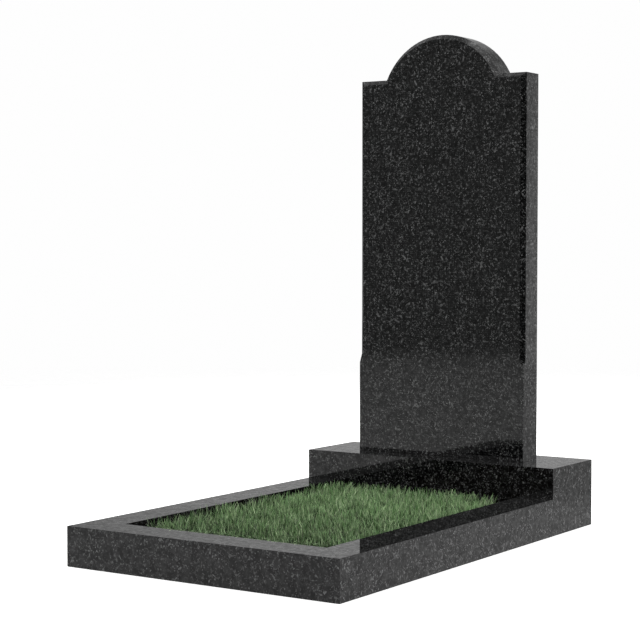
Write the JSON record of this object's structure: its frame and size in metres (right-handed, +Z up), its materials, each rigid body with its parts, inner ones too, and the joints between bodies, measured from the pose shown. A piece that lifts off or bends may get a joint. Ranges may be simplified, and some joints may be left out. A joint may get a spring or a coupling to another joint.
{
  "type": "headstone",
  "caption": "Upright polished stone slab with an arched top and chamfered front, on a plinth, with a low kerb in front round a bed of grass.",
  "frame": {"origin": "middle of the footprint at ground level", "axes": "+Z up, +Y from the foot of the kerb towards the stele, so the stele's face looks along -Y; +X to the right seen from the front"},
  "size_m": [0.65, 1.06, 1.1283],
  "materials": {
    "stone_plinth": "polished",
    "stone_stele": "polished",
    "stone_kerb": "polished",
    "soil": "matte",
    "grass": "matte"
  },
  "bodies": {
    "root": {"plinth": "stone_plinth", "stele": "stone_stele", "kerb_front": "stone_kerb", "kerb_right": "stone_kerb", "kerb_left": "stone_kerb", "soil_bed": "soil", "grass": "grass"}
  },
  "joints": []
}
